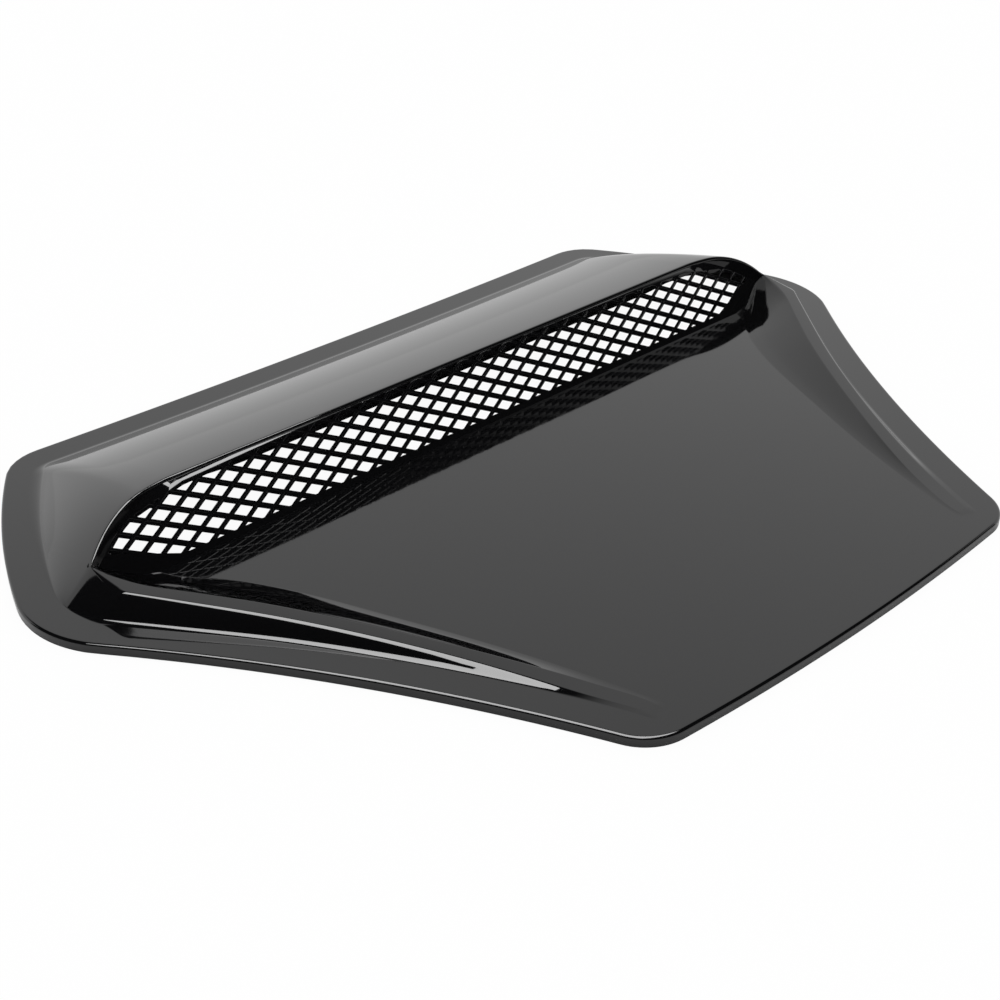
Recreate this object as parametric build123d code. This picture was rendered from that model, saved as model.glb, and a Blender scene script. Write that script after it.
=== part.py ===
from build123d import *
import math
import os

# Car bonnet vent: one glossy black ABS moulding, drawn from its mould straight up.
# Millimetres. +X across the car, +Y towards the windscreen, +Z up.
# The origin is the middle of the vent's footprint, at the height where its rim rests.

# Outline of the flange, seen from above, with its corners before rounding
HALF_BACK = 232.0        # half width at the back corners
HALF_WIDEST = 310.0      # half width at the end corners
HALF_FRONT = 144.0       # half width at the front corners
BACK_Y = 217.5
WIDEST_Y = 49.7
FRONT_Y = -211.2
BACK_BOW = 4.3           # the back edge is hollow by this much in the middle
END_BOW = 9.0            # the edge from back corner to end corner swells out
SIDE_DIP = 11.6          # the long side edge is hollow
FRONT_BOW = 6.4          # the front edge swells out
BACK_CORNER = 31.0
END_CORNER = 63.0
FRONT_CORNER = 29.5

# Flange and rim
RIM_HEIGHT = 5.5
RIM_ROUND = 1.5
FLANGE = 19.5            # level border between the rim and the raised shapes
WALL = 2.5               # wall of the whole moulding

# Hump: the raised visor at the back
HUMP_HALF = 283.4        # half width at the hump's two tips
LIP_HEIGHT = 42.2
LIP_Y = 81.5             # front of the lip over its straight part
LIP_STRAIGHT = 205.0     # half width of the straight part
LIP_SWEEP = 18.8         # the lip comes forwards by this much at its low ends
SWEEP_POWER = 1.6        # how late the sweep sets in
LIP_LOW = 268.0          # half width where the lip meets the rail
TIP_Y = 66.5
SHOULDER = 56.0          # rounding of the arch between roof and end, seen from the front
FLANK_ANGLE = 45.0
ROOF_BULGE = 0.0295      # height of the roof's arc over its chord, as a share of the chord
ROOF_START = 24.5        # slope of the roof at its foot
BAND_HEIGHT = 5.5        # upright face under the lip
STATIONS = (0.0, 90.0, 160.0, LIP_STRAIGHT, 218.0, 231.0, 244.0, 257.0)
OUTER_STATION = 275.0    # one more for the outer form
INNER_STATION = 272.0    # where the hollow under the hump ends

# Mouth plane: leans back from the plate up to the lip
MOUTH_LEAN = 57.5        # degrees above the level
MOUTH_FOOT_Y = 57.8      # where the plane meets the plate's height
LATTICE_TOP = 40.4       # the lattice runs level into the band from this height
FRAME_SETBACK = 0.8      # how far the frame lies under the lattice's face, measured down
FRAME_DEPTH = 3.6        # wall of the frame, measured down

# Lattice of long diamonds, its walls upright as the mould draws them
CELL_HALF_WIDTH = 9.1
CELL_HALF_HEIGHT = 5.05  # measured in the mouth plane
CELL_PHASE = 6.6         # height of the lowest even row's middle over the plate
BAR_WIDTH = 1.5          # measured in the mouth plane
BAR_DEPTH = 2.4          # measured down
BAR_LANDING = 2.6        # how far the bars run on over the frame, seen from above
FRAME_HALF = 262.0       # half width of the frame

# Mouth opening in the mouth plane: half widths, and heights over the rim's foot
SILL_HALF = 215.0
SILL_HEIGHT = 9.5
TIP_HALF = 254.0
TIP_HEIGHT = 21.8
BEND_HALF = 231.0        # middle of the curve from the tip up to the head
BEND_HEIGHT = 33.2
HEAD_HALF = 200.0
HEAD_HEIGHT = 38.4
HEAD_RUN = 12.0          # the head's ends slant inwards by this much into the band

# The way through behind the lattice, seen from the front
WAY_HALF = 232.0
WAY_SIDE = 15.0          # height where its sides turn out to the mouth's tips
WAY_BEND_HALF = 236.0
WAY_BEND_HEIGHT = 32.0
WAY_HEAD_HALF = 210.0

# Side rails: they rise out of the front corners and meet the hump's ends
RAIL_DRAFT = 22.0        # of the outer wall
RAIL_FRONT_Y = -202.5    # where the rail's top leaves the plate
RAIL_RISE = 0.062        # rise of the rail's top for each millimetre towards the back
RAIL_TALL = 20.0         # more than the rail's top ever stands over the plate
INNER_RUN = 1.92         # run of the inner wall for each millimetre of rise
END_FACE_AZIMUTH = -13.5  # the short face at the rail's outer end looks this way
END_FACE_SLOPE = 48.6
END_FACE_FOOT = (279.6, 55.0)

# Foot of the rail's inner wall, seen from above, and how it runs outwards at each point
ROOT_POINTS = ((121.0, -187.5), (164.5, -64.5), (207.0, 23.5), (232.0, 57.8))
ROOT_SLOPES = (0.27, 0.43, 0.68, 0.50)
ROOT_TAIL_SLOPE = 0.30   # behind the last point
ROOT_RUN_ON = 60.0       # the foot line runs straight on past both ends

SINK = 1.0               # how far joined shapes reach into each other
FAR = 400.0              # larger than the vent, for cutting shapes

lean = math.radians(MOUTH_LEAN)
flank = math.radians(FLANK_ANGLE)


def plane_height(y):
    """Height of the mouth plane over the point y."""
    return RIM_HEIGHT + (y - MOUTH_FOOT_Y) * math.tan(lean)


def plane_y(z):
    """Y of the mouth plane at height z."""
    return MOUTH_FOOT_Y + (z - RIM_HEIGHT) / math.tan(lean)


def arc_between(start, end, bulge):
    """Arc from start to end whose middle stands off to the right of its course by bulge."""
    ax, ay = start
    bx, by = end
    length = math.hypot(bx - ax, by - ay)
    across = (bulge * (by - ay) / length, -bulge * (bx - ax) / length)
    middle = ((ax + bx) / 2 + across[0], (ay + by) / 2 + across[1])
    return ThreePointArc(start, middle, end)


def both_sides(right_side):
    """A face between edges on the right half and their mirror image."""
    return make_face(right_side + [mirror(edge, Plane.YZ) for edge in right_side])


def flange_outline():
    """The whole outline, walked clockwise, so that the right hand is the inner side."""
    back_l, back_r = (-HALF_BACK, BACK_Y), (HALF_BACK, BACK_Y)
    end_r, end_l = (HALF_WIDEST, WIDEST_Y), (-HALF_WIDEST, WIDEST_Y)
    front_r, front_l = (HALF_FRONT, FRONT_Y), (-HALF_FRONT, FRONT_Y)
    face = make_face([
        arc_between(back_l, back_r, BACK_BOW),
        arc_between(back_r, end_r, -END_BOW),
        arc_between(end_r, front_r, SIDE_DIP),
        arc_between(front_r, front_l, -FRONT_BOW),
        arc_between(front_l, end_l, SIDE_DIP),
        arc_between(end_l, back_l, -END_BOW),
    ])
    for pair, radius in (
        ((back_l, back_r), BACK_CORNER),
        ((end_l, end_r), END_CORNER),
        ((front_l, front_r), FRONT_CORNER),
    ):
        corners = [face.vertices().sort_by_distance((x, y, 0))[0] for x, y in pair]
        face = fillet(corners, radius)
    return face


def inset(margin):
    """The flange outline drawn in by margin."""
    drawn_in = offset(outline, -margin, kind=Kind.INTERSECTION)
    return make_face([ThreePointArc(e @ 0, e @ 0.5, e @ 1) for e in drawn_in.edges()])


def solid_between(low_face, low_z, high_face, high_z):
    """Straight-walled solid between two faces of the same make at two heights."""
    return loft([Pos(0, 0, low_z) * low_face, Pos(0, 0, high_z) * high_face], ruled=True)


def along_x(points):
    """A prism along X with the given Y, Z outline."""
    profile = make_face(Polyline(*[(0, y, z) for y, z in points], close=True))
    return extrude(profile, FAR, dir=(1, 0, 0), both=True)


def arch_height(x, drop=0.0):
    """Height of the hump's arch at x, seen from the front, for a skin drop deeper."""
    top = LIP_HEIGHT - drop
    radius = SHOULDER - drop
    foot = HUMP_HALF - drop / math.sin(flank)
    corner = foot - (top - RIM_HEIGHT) / math.tan(flank)
    reach = radius * math.tan(flank / 2)
    start = corner - reach
    if x <= start:
        return top
    if x >= corner + reach * math.cos(flank):
        return RIM_HEIGHT + (foot - x) * math.tan(flank)
    return top - radius + math.sqrt(radius ** 2 - (x - start) ** 2)


def lip_y(x):
    """Y of the lip at x: straight, then forwards to the low ends, then back to the tips."""
    if x <= LIP_STRAIGHT:
        return LIP_Y
    if x <= LIP_LOW:
        share = (x - LIP_STRAIGHT) / (LIP_LOW - LIP_STRAIGHT)
        return LIP_Y - LIP_SWEEP * share ** SWEEP_POWER
    low = LIP_Y - LIP_SWEEP
    return low + (TIP_Y - low) * (x - LIP_LOW) / (HUMP_HALF - LIP_LOW)


def crease_y(x, base):
    """Y where the back of the base outline crosses x."""
    inside = Line((x, 0, 0), (x, FAR, 0)).intersect(base)
    return max(v.Y for v in inside.vertices())


def hump(stations, base, drop, floor):
    """The hump as a loft along X: roof arc, upright front, and a floor under both.

    A skin drop deeper has its front that much further back.
    """
    sections = []
    for x in [-x for x in reversed(stations) if x > 0] + list(stations):
        y_back = crease_y(abs(x), base)
        y_lip = lip_y(abs(x)) + drop
        z_lip = arch_height(abs(x), drop)
        z_foot = RIM_HEIGHT - drop
        crown_y = (y_back + y_lip) / 2 + ROOF_BULGE * (z_lip - z_foot)
        crown_z = (z_foot + z_lip) / 2 + ROOF_BULGE * (y_back - y_lip)
        sections.append(make_face([
            ThreePointArc((x, y_back, z_foot), (x, crown_y, crown_z), (x, y_lip, z_lip)),
            Line((x, y_lip, z_lip), (x, y_lip, floor)),
            Line((x, y_lip, floor), (x, y_back, floor)),
            Line((x, y_back, floor), (x, y_back, z_foot)),
        ]))
    return loft(sections)


def root_region(shift):
    """The plate between the feet of the rails' inner walls, widened by shift."""
    wide = []
    for (x, y), slope in zip(ROOT_POINTS, ROOT_SLOPES):
        turn = math.atan(slope)
        wide.append((x + shift * math.cos(turn), y - shift * math.sin(turn)))
    ends = [(ROOT_SLOPES[0], 1), (ROOT_SLOPES[-1], 1)]
    root = Spline(*wide, tangents=ends)
    (ax, ay), (bx, by) = wide[0], wide[-1]
    front = (ax - ROOT_SLOPES[0] * ROOT_RUN_ON, ay - ROOT_RUN_ON)
    back = (bx + ROOT_TAIL_SLOPE * ROOT_RUN_ON, by + ROOT_RUN_ON)
    return both_sides([
        Line((0, front[1]), front),
        Line(front, wide[0]),
        root,
        Line(wide[-1], back),
        Line(back, (0, back[1])),
    ])


def rails(wall):
    """Both side rails and the front of the hump's ends, as one block drawn in by wall."""
    draft = math.tan(math.radians(RAIL_DRAFT))
    margin = FLANGE + wall / math.cos(math.radians(RAIL_DRAFT))
    foot = RIM_HEIGHT - SINK - wall
    top = RIM_HEIGHT + RAIL_TALL
    block = solid_between(
        inset(margin - draft * (SINK + wall)), foot, inset(margin + draft * RAIL_TALL), top)

    # the sloping top
    low_front = RAIL_FRONT_Y + wall / RAIL_RISE
    block &= along_x([
        (low_front - SINK / RAIL_RISE, RIM_HEIGHT - SINK),
        (2 * LIP_Y, RIM_HEIGHT + RAIL_RISE * (2 * LIP_Y - low_front)),
        (2 * LIP_Y, foot - SINK),
        (RAIL_FRONT_Y - FAR, foot - SINK),
        (RAIL_FRONT_Y - FAR, RIM_HEIGHT - SINK),
    ])

    # the block ends just inside the hump's lip
    lip_end = LIP_Y - LIP_SWEEP + wall
    block &= along_x([
        (TIP_Y + SINK + wall, foot - SINK),
        (lip_end, arch_height(LIP_LOW)),
        (lip_end - 2 * SINK, top + SINK),
        (-FAR, top + SINK),
        (-FAR, foot - SINK),
    ])

    # the short faces at the outer ends
    tilt = math.radians(END_FACE_SLOPE)
    turn = math.radians(END_FACE_AZIMUTH)
    for side in (1, -1):
        out = side * math.sin(tilt) * math.cos(turn)
        face = Plane(
            origin=(side * END_FACE_FOOT[0], END_FACE_FOOT[1], RIM_HEIGHT),
            z_dir=(out, math.sin(tilt) * math.sin(turn), math.cos(tilt)))
        block -= face * Pos(0, 0, FAR / 2 - wall) * Box(FAR, FAR, FAR)

    # the plate between the inner walls
    spread = wall * math.hypot(1, INNER_RUN)
    below = SINK + wall + SINK
    above = RAIL_TALL + SINK
    valley = solid_between(
        root_region(spread - INNER_RUN * below), RIM_HEIGHT - below,
        root_region(spread + INNER_RUN * above), RIM_HEIGHT + above)
    return block - valley


def mouth_outline():
    """The mouth in the mouth plane, seen from above; its head runs back into the band."""
    head = LIP_Y + SINK
    sill = plane_y(SILL_HEIGHT)
    tip = (TIP_HALF, plane_y(TIP_HEIGHT))
    bend = (BEND_HALF, plane_y(BEND_HEIGHT))
    start = (HEAD_HALF, plane_y(HEAD_HEIGHT))
    return both_sides([
        Line((0, sill), (SILL_HALF, sill)),
        Line((SILL_HALF, sill), tip),
        ThreePointArc(tip, bend, start),
        Line(start, (HEAD_HALF - HEAD_RUN, head)),
        Line((HEAD_HALF - HEAD_RUN, head), (0, head)),
    ])


def lip_region():
    """From the mouth's foot back into the lip's wall, seen from above."""
    swept = [(x, lip_y(x) + SINK) for x in STATIONS + (FRAME_HALF,) if x >= LIP_STRAIGHT]
    foot = MOUTH_FOOT_Y - SINK
    last_x, last_y = swept[-1]
    return both_sides([
        Line((0, foot), (last_x, foot)),
        Line((last_x, foot), (last_x, last_y)),
        *Polyline(*reversed(swept)).edges(),
        Line(swept[0], (0, LIP_Y + SINK)),
    ])


def mouth_slab(setback, depth):
    """A slab along the mouth plane that runs level into the band at its top."""
    foot = MOUTH_FOOT_Y - SINK
    inside = LIP_Y + WALL
    fold = plane_y(LATTICE_TOP)
    upper = [
        (foot, plane_height(foot) - setback),
        (fold, LATTICE_TOP - setback),
        (inside, LATTICE_TOP - setback),
    ]
    return along_x(upper + [(y, z - depth) for y, z in reversed(upper)])


def cells():
    """The diamond holes of the lattice, seen from above."""
    flat = math.cos(lean)
    edge = math.hypot(CELL_HALF_WIDTH, CELL_HALF_HEIGHT)
    share = 1.0 - BAR_WIDTH / 2 * edge / (CELL_HALF_WIDTH * CELL_HALF_HEIGHT)
    half_x = CELL_HALF_WIDTH * share
    half_y = CELL_HALF_HEIGHT * share * flat
    diamond = make_face(
        Polyline((half_x, 0), (0, half_y), (-half_x, 0), (0, -half_y), close=True))
    columns = int(TIP_HALF / CELL_HALF_WIDTH) + 1
    rows = int((LATTICE_TOP - RIM_HEIGHT) / math.sin(lean) / CELL_HALF_HEIGHT) + 1
    low = plane_y(RIM_HEIGHT + CELL_PHASE)
    return [
        Pos(column * CELL_HALF_WIDTH, low + row * CELL_HALF_HEIGHT * flat, 0) * diamond
        for column in range(-columns, columns + 1)
        for row in range(-1, rows + 1)
        if (column + row) % 2 == 0
    ]


def way_through():
    """The space behind the mouth, open at the bottom."""
    sill = plane_y(SILL_HEIGHT)
    back = LIP_Y + WALL + SINK
    side_view = along_x([
        (sill, -SINK),
        (sill, plane_height(sill) - BAR_DEPTH),
        (back, plane_height(back) - BAR_DEPTH),
        (back, -SINK),
    ])
    head = LIP_HEIGHT - BAND_HEIGHT
    tip = (TIP_HALF, 0, TIP_HEIGHT)
    bend = (WAY_BEND_HALF, 0, WAY_BEND_HEIGHT)
    front_view = both_sides([
        Line((0, 0, -SINK), (WAY_HALF, 0, -SINK)),
        Line((WAY_HALF, 0, -SINK), (WAY_HALF, 0, WAY_SIDE)),
        Line((WAY_HALF, 0, WAY_SIDE), tip),
        ThreePointArc(tip, bend, (WAY_HEAD_HALF, 0, head)),
        Line((WAY_HEAD_HALF, 0, head), (0, 0, head)),
    ])
    return side_view & extrude(front_view, FAR, dir=(0, 1, 0))


# Outer form: the pan with its rounded rim, the hump and the two rails
outline = flange_outline()
pan = extrude(outline, RIM_HEIGHT)
pan = fillet(pan.faces().sort_by(Axis.Z)[-1].edges(), RIM_ROUND)
outer_stations = STATIONS + (OUTER_STATION, HUMP_HALF - SINK)
visor = hump(outer_stations, inset(FLANGE), 0.0, RIM_HEIGHT - SINK)
shell = pan + visor + rails(0.0)

# Hollow from below, so that one even wall is left
roof_inset = WALL / math.sin(math.radians(ROOF_START))
shell -= extrude(Pos(0, 0, -SINK) * inset(WALL), SINK + RIM_HEIGHT - WALL)
shell -= hump(STATIONS + (INNER_STATION,), inset(FLANGE + roof_inset), WALL, -SINK)
shell -= rails(WALL)
shell -= way_through()

# The lattice in the mouth: a slim frame, and bars between diamond holes
opening = mouth_outline()
region = lip_region()
frame = extrude(region - opening, LIP_HEIGHT) & mouth_slab(FRAME_SETBACK, FRAME_DEPTH)
bars_plan = (offset(opening, BAR_LANDING, kind=Kind.INTERSECTION) & region) - cells()
bars = extrude(bars_plan, LIP_HEIGHT) & mouth_slab(0.0, BAR_DEPTH)

vent = shell + frame + bars
os.makedirs("parts", exist_ok=True)
export_step(vent.solids()[0], "parts/bonnet_vent.step")
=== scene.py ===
"""Car bonnet vent: one gloss black ABS moulding, built as a smooth skin with its lattice."""

import logging
import math
from collections.abc import Callable
from dataclasses import dataclass

import bmesh
import bpy
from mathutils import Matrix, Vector
from mathutils.geometry import delaunay_2d_cdt

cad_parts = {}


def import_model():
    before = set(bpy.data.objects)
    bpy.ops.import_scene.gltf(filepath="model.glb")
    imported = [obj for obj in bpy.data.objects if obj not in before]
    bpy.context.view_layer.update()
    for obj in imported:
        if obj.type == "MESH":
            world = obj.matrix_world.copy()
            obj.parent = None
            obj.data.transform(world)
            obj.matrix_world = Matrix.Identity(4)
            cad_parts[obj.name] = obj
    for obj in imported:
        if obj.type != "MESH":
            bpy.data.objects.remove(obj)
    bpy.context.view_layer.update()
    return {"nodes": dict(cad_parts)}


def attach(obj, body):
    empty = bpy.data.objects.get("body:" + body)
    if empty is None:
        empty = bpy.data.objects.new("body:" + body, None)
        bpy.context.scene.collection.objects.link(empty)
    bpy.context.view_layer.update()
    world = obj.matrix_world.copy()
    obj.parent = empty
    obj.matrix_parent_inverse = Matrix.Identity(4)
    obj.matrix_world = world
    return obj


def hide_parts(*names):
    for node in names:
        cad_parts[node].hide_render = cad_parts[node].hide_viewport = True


log = logging.getLogger("bonnet_vent")

MM = 0.001

# Share of a leg that one rounding may take, so that both ends of the leg can be rounded.
LEG_SHARE = 0.49

# Angle in radians below which a corner is left as it is.
STRAIGHT = 1e-3

# Distance in mm within which two points count as one.
TOUCH = 1e-3

# Halvings of a search, after which its result is far finer than the mesh.
HALVINGS = 50

Point2 = tuple[float, float]
Point3 = tuple[float, float, float]


def lerp(a: float, b: float, share: float) -> float:
    """Number between a and b.

    Args:
        a: value at share 0.
        b: value at share 1.
        share: how far to go.

    Returns:
        The value in between.
    """
    return a + (b - a) * share


def span(start: float, end: float, count: int) -> list[float]:
    """Evenly spaced values from start to end.

    Args:
        start: first value.
        end: last value.
        count: number of steps.

    Returns:
        count + 1 values.
    """
    return [lerp(start, end, i / count) for i in range(count + 1)]


def halved(low: float, high: float, past: Callable[[float], bool]) -> float:
    """Finds by halving where a test turns from false to true.

    Args:
        low: value at which the test is false.
        high: value at which the test is true.
        past: the test.

    Returns:
        The last value before the turn.
    """
    for _ in range(HALVINGS):
        middle = (low + high) / 2
        if past(middle):
            high = middle
        else:
            low = middle
    return low


def rounded(corner: Vector, before: Vector, after: Vector, radius: float, steps: int) -> list[Vector]:
    """Points of the arc that rounds one corner of a line.

    Args:
        corner: the sharp corner.
        before: the point the line comes from.
        after: the point the line goes to.
        radius: wanted radius of the rounding.
        steps: number of steps along the arc.

    Returns:
        steps + 1 points; all at the corner where there is no room.
    """
    sharp = [corner.copy() for _ in range(steps + 1)]
    back = before - corner
    ahead = after - corner
    room = LEG_SHARE * min(back.length, ahead.length)
    if min(room, radius) < TOUCH / 1000:
        return sharp
    back.normalize()
    ahead.normalize()
    inner = back.angle(ahead, math.pi)
    if inner > math.pi - STRAIGHT or inner < STRAIGHT:
        return sharp
    reach = min(radius / math.tan(inner / 2), room)
    size = reach * math.tan(inner / 2)
    centre = corner + (back + ahead).normalized() * (size / math.sin(inner / 2))
    first = corner + back * reach - centre
    last = corner + ahead * reach - centre
    turn = first.angle(last, 0.0)
    if turn < STRAIGHT:
        return sharp
    points = []
    for share in span(0.0, 1.0, steps):
        mix = first * math.sin((1 - share) * turn) + last * math.sin(share * turn)
        points.append(centre + mix / math.sin(turn))
    return points


@dataclass(frozen=True)
class Arc:
    """A circular arc seen from above, walked from start to end."""

    centre: Point2
    radius: float
    start: float
    turn: float

    def at(self, share: float) -> Point2:
        """Point on the arc.

        Args:
            share: 0 at the start and 1 at the end.

        Returns:
            The point.
        """
        angle = self.start + self.turn * share
        return (
            self.centre[0] + self.radius * math.cos(angle),
            self.centre[1] + self.radius * math.sin(angle),
        )


def circle_through(start: Point2, end: Point2, bulge: float) -> tuple[Point2, float]:
    """Circle whose chord runs from start to end and whose arc stands off it by bulge.

    Args:
        start: first end of the chord.
        end: second end of the chord.
        bulge: height of the arc over the chord, positive to the right of the walk.

    Returns:
        Centre and radius.
    """
    half = math.dist(start, end) / 2
    radius = (half**2 + bulge**2) / (2 * abs(bulge))
    way = ((end[0] - start[0]) / (2 * half), (end[1] - start[1]) / (2 * half))
    right = (way[1], -way[0])
    reach = (abs(bulge) - radius) * math.copysign(1.0, bulge)
    middle = ((start[0] + end[0]) / 2, (start[1] + end[1]) / 2)
    return (middle[0] + right[0] * reach, middle[1] + right[1] * reach), radius


@dataclass(frozen=True)
class OutlineSize:
    """Flange outline: corners before rounding, and how far each edge bends, in mm."""

    half_back: float = 232.0
    half_widest: float = 310.0
    half_front: float = 144.0
    back_y: float = 217.5
    widest_y: float = 49.7
    front_y: float = -211.2
    back_bow: float = 4.3
    end_bow: float = 9.0
    side_dip: float = 11.6
    front_bow: float = 6.4
    back_corner: float = 31.0
    end_corner: float = 63.0
    front_corner: float = 29.5


class Outline:
    """The right half of the flange outline, from the front middle round to the back middle.

    It has seven arcs, the four sides with a corner between each two. A place on it is 0 at
    the front middle and one more for each arc.
    """

    arc_steps = (14, 14, 56, 26, 26, 16, 26)

    def __init__(self, size: OutlineSize) -> None:
        """Works out the circles of the sides and corners.

        Args:
            size: dimensions of the outline.
        """
        s = size
        front = circle_through((-s.half_front, s.front_y), (s.half_front, s.front_y), s.front_bow)
        side = circle_through((s.half_front, s.front_y), (s.half_widest, s.widest_y), -s.side_dip)
        end = circle_through((s.half_widest, s.widest_y), (s.half_back, s.back_y), s.end_bow)
        back = circle_through((s.half_back, s.back_y), (-s.half_back, s.back_y), -s.back_bow)
        self.sides = [(*front, 1), (*side, -1), (*end, 1), (*back, -1)]
        sharp = [(s.half_front, s.front_y), (s.half_widest, s.widest_y), (s.half_back, s.back_y)]
        radii = [s.front_corner, s.end_corner, s.back_corner]
        self.corners = [
            (self._corner_centre(i, corner, radius), radius)
            for i, (corner, radius) in enumerate(zip(sharp, radii))
        ]

    def _corner_centre(self, index: int, guess: Point2, radius: float) -> Point2:
        """Centre of the circle that rounds the corner between two sides.

        Args:
            index: number of the first side.
            guess: the sharp corner.
            radius: radius of the rounding.

        Returns:
            The centre.
        """
        (c1, r1, s1), (c2, r2, s2) = self.sides[index], self.sides[index + 1]
        d1 = r1 - s1 * radius
        d2 = r2 - s2 * radius
        gap = math.dist(c1, c2)
        along = (d1**2 - d2**2 + gap**2) / (2 * gap)
        height = math.sqrt(max(d1**2 - along**2, 0.0))
        ux, uy = (c2[0] - c1[0]) / gap, (c2[1] - c1[1]) / gap
        base = (c1[0] + ux * along, c1[1] + uy * along)
        options = [(base[0] - uy * h, base[1] + ux * h) for h in (height, -height)]
        return min(options, key=lambda p: math.dist(p, guess))

    def _normal(self, side: int, point: Point2) -> float:
        """Direction of a side's outer normal where a corner's circle touches it.

        Args:
            side: number of the side.
            point: centre of the corner's circle.

        Returns:
            Angle of the normal.
        """
        centre, _, sign = self.sides[side]
        return math.atan2(sign * (point[1] - centre[1]), sign * (point[0] - centre[0]))

    def pieces(self, margin: float) -> list[Arc]:
        """The seven arcs of the half outline, drawn in by margin.

        Args:
            margin: distance inwards from the outline.

        Returns:
            Arcs in walking order.
        """
        arcs: list[Arc] = []
        final = len(self.sides) - 1
        for i, (centre, radius, sign) in enumerate(self.sides):
            start = -math.pi / 2 if i == 0 else self._normal(i, self.corners[i - 1][0])
            end = math.pi / 2 if i == final else self._normal(i, self.corners[i][0])
            if sign < 0:
                start, end = start + math.pi, end + math.pi
            turn = math.remainder(end - start, 2 * math.pi)
            arcs.append(Arc(centre, radius - sign * margin, start, turn))
            if i < final:
                middle, bend = self.corners[i]
                first = self._normal(i, middle)
                turn = math.remainder(self._normal(i + 1, middle) - first, 2 * math.pi)
                arcs.append(Arc(middle, bend - margin, first, turn))
        return arcs

    def at(self, margin: float, place: float) -> Point2:
        """Point of the drawn-in outline.

        Args:
            margin: distance inwards from the outline.
            place: place on the outline.

        Returns:
            The point.
        """
        index = min(int(place), len(self.arc_steps) - 1)
        return self.pieces(margin)[index].at(place - index)

    def places(self) -> list[float]:
        """Places of the outline's points, closer where it bends more.

        Returns:
            Places from 0 to 7.
        """
        out = [0.0]
        for i, count in enumerate(self.arc_steps):
            out += [i + k / count for k in range(1, count + 1)]
        return out


@dataclass(frozen=True)
class SkinSize:
    """Sizes of the moulding's skin.

    Lengths are in mm, y runs back along the car, places are those of the outline, tilts
    are in radians, and slopes, bulge, bend, fade and hollow have no unit.
    """

    rim_height: float = 5.5
    rim_round: float = 1.6
    wall: float = 2.5
    flange_line: float = 6.0
    margin: float = 19.5
    hump_half: float = 283.4
    shoulder: float = 56.0
    roof_bulge: float = 0.0295
    crease_round: float = 9.0
    crease_room: float = 60.0
    lip_height: float = 42.2
    lip_y: float = 81.5
    lip_straight: float = 205.0
    lip_low: float = 268.0
    lip_sweep: float = 18.8
    lip_bend: float = 1.6
    lip_round: float = 1.5
    tip_y: float = 66.5
    tip_place: float = 3.68
    tip_fade: float = 0.07
    band_foot: float = 33.0
    band_straight: float = 150.0
    band_high: float = 225.0
    band_sink: float = 1.0
    rail_rise: float = 0.074
    rail_front: float = -158.5
    rail_soft: float = 1.2
    rail_place: float = 1.0
    rail_start: float = -196.0
    rail_fade: float = 0.5
    draft_tilt: float = math.radians(68.0)
    tilt_per_mm: float = math.radians(16.0)
    turn_foot: float = 3.12
    turn_top: float = 2.985
    turn_room: float = 0.12
    turn_spread: float = 1.6
    turn_round: float = 7.0
    edge_round: float = 6.0
    crest_round: float = 6.0
    base_round: float = 4.0
    foot_round: float = 5.0
    foot_back_slope: float = 0.20
    foot_bend: float = 6.0
    wall_hollow: float = 1.5
    plate_inset: float = 8.0


@dataclass(frozen=True)
class MouthSize:
    """The slanted mouth and its lattice, in mm; heights are above the rim's foot."""

    lean: float = math.radians(57.5)
    foot_y: float = 57.8
    top: float = 40.4
    sill_half: float = 215.0
    sill_height: float = 8.9
    tip_half: float = 254.0
    tip_height: float = 21.8
    head_half: float = 200.0
    head_height: float = 38.4
    head_bend: float = 5.0
    head_inset: float = 22.0
    head_gap: float = 0.35
    cell_half_width: float = 9.1
    cell_half_height: float = 5.05
    cell_phase: float = 6.6
    cell_corner: float = 0.55
    cell_area: float = 2.5
    bar_width: float = 1.5
    bar_depth: float = 2.4
    bar_round: float = 0.3
    rail_overlap: float = 1.0
    sill_overlap: float = 0.6
    lip_overlap: float = 0.5


class Course:
    """A smooth line given by points, as one value over another."""

    def __init__(self, points: list[Point2], slopes: list[float] | None = None) -> None:
        """Keeps the points and the slope at each.

        Args:
            points: pairs of place and value, with rising places.
            slopes: the slopes, or None to take them from the neighbouring points.
        """
        self.points = points
        steps = [(b[1] - a[1]) / (b[0] - a[0]) for a, b in zip(points, points[1:])]
        inner = [(a + b) / 2 for a, b in zip(steps, steps[1:])]
        self.slopes = slopes or [steps[0]] + inner + [steps[-1]]

    def at(self, t: float) -> Point2:
        """Value and slope at a place; straight on past both ends.

        Args:
            t: the place.

        Returns:
            The value and the slope.
        """
        points, slopes = self.points, self.slopes
        if t <= points[0][0]:
            return points[0][1] + slopes[0] * (t - points[0][0]), slopes[0]
        if t >= points[-1][0]:
            return points[-1][1] + slopes[-1] * (t - points[-1][0]), slopes[-1]
        i = max(k for k in range(len(points) - 1) if points[k][0] <= t)
        (ta, a), (tb, b) = points[i], points[i + 1]
        width = tb - ta
        u = (t - ta) / width
        pa, pb = slopes[i] * width, slopes[i + 1] * width
        value = (2 * u**3 - 3 * u**2 + 1) * a + (u**3 - 2 * u**2 + u) * pa
        value += (3 * u**2 - 2 * u**3) * b + (u**3 - u**2) * pb
        slope = (6 * u**2 - 6 * u) * (a - b) + (3 * u**2 - 4 * u + 1) * pa + (3 * u**2 - 2 * u) * pb
        return value, slope / width


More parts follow.
